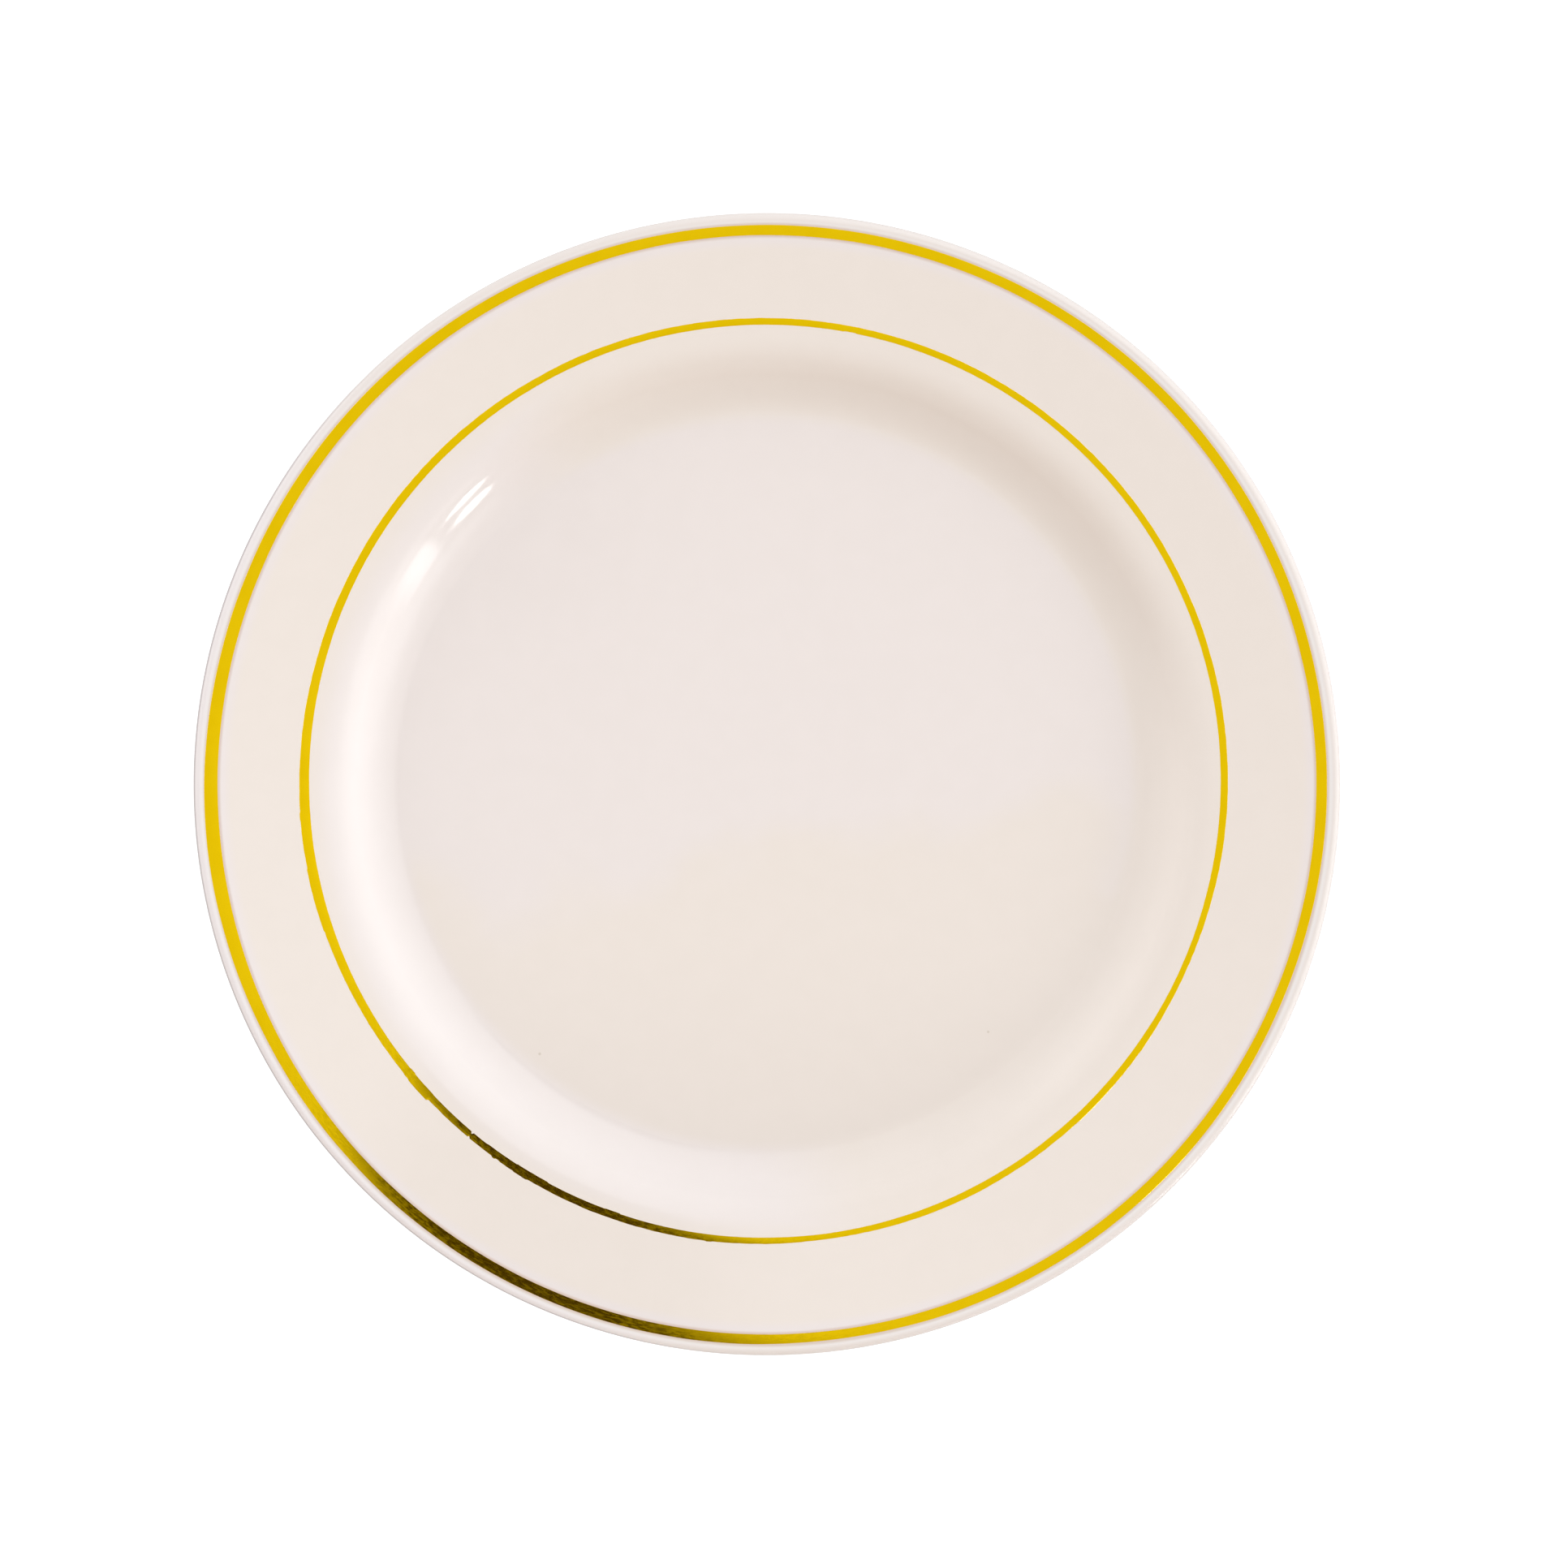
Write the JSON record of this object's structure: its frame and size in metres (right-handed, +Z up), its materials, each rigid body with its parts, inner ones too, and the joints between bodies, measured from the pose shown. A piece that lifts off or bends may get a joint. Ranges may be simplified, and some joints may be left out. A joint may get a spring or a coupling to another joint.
{
  "type": "dinner plate",
  "caption": "Round china dinner plate with a flat well, a wide gently sloping rim, a gold band near the lip, a thin gold line at the verge and a bare foot ring underneath.",
  "frame": {"origin": "centre of the plane that the foot ring stands on", "axes": "+Z up along the plate's axis of symmetry, out of the well; X and Y are level and any turn about Z is the same"},
  "size_m": [0.267, 0.267, 0.019],
  "materials": {
    "porcelain": "matte",
    "glaze": "gloss",
    "gold": "polished"
  },
  "bodies": {
    "root": {"porcelain_body": "porcelain", "glaze_coat": "glaze", "recess_glaze": "glaze", "rim_gold_band": "gold", "verge_gold_line": "gold"}
  },
  "joints": []
}
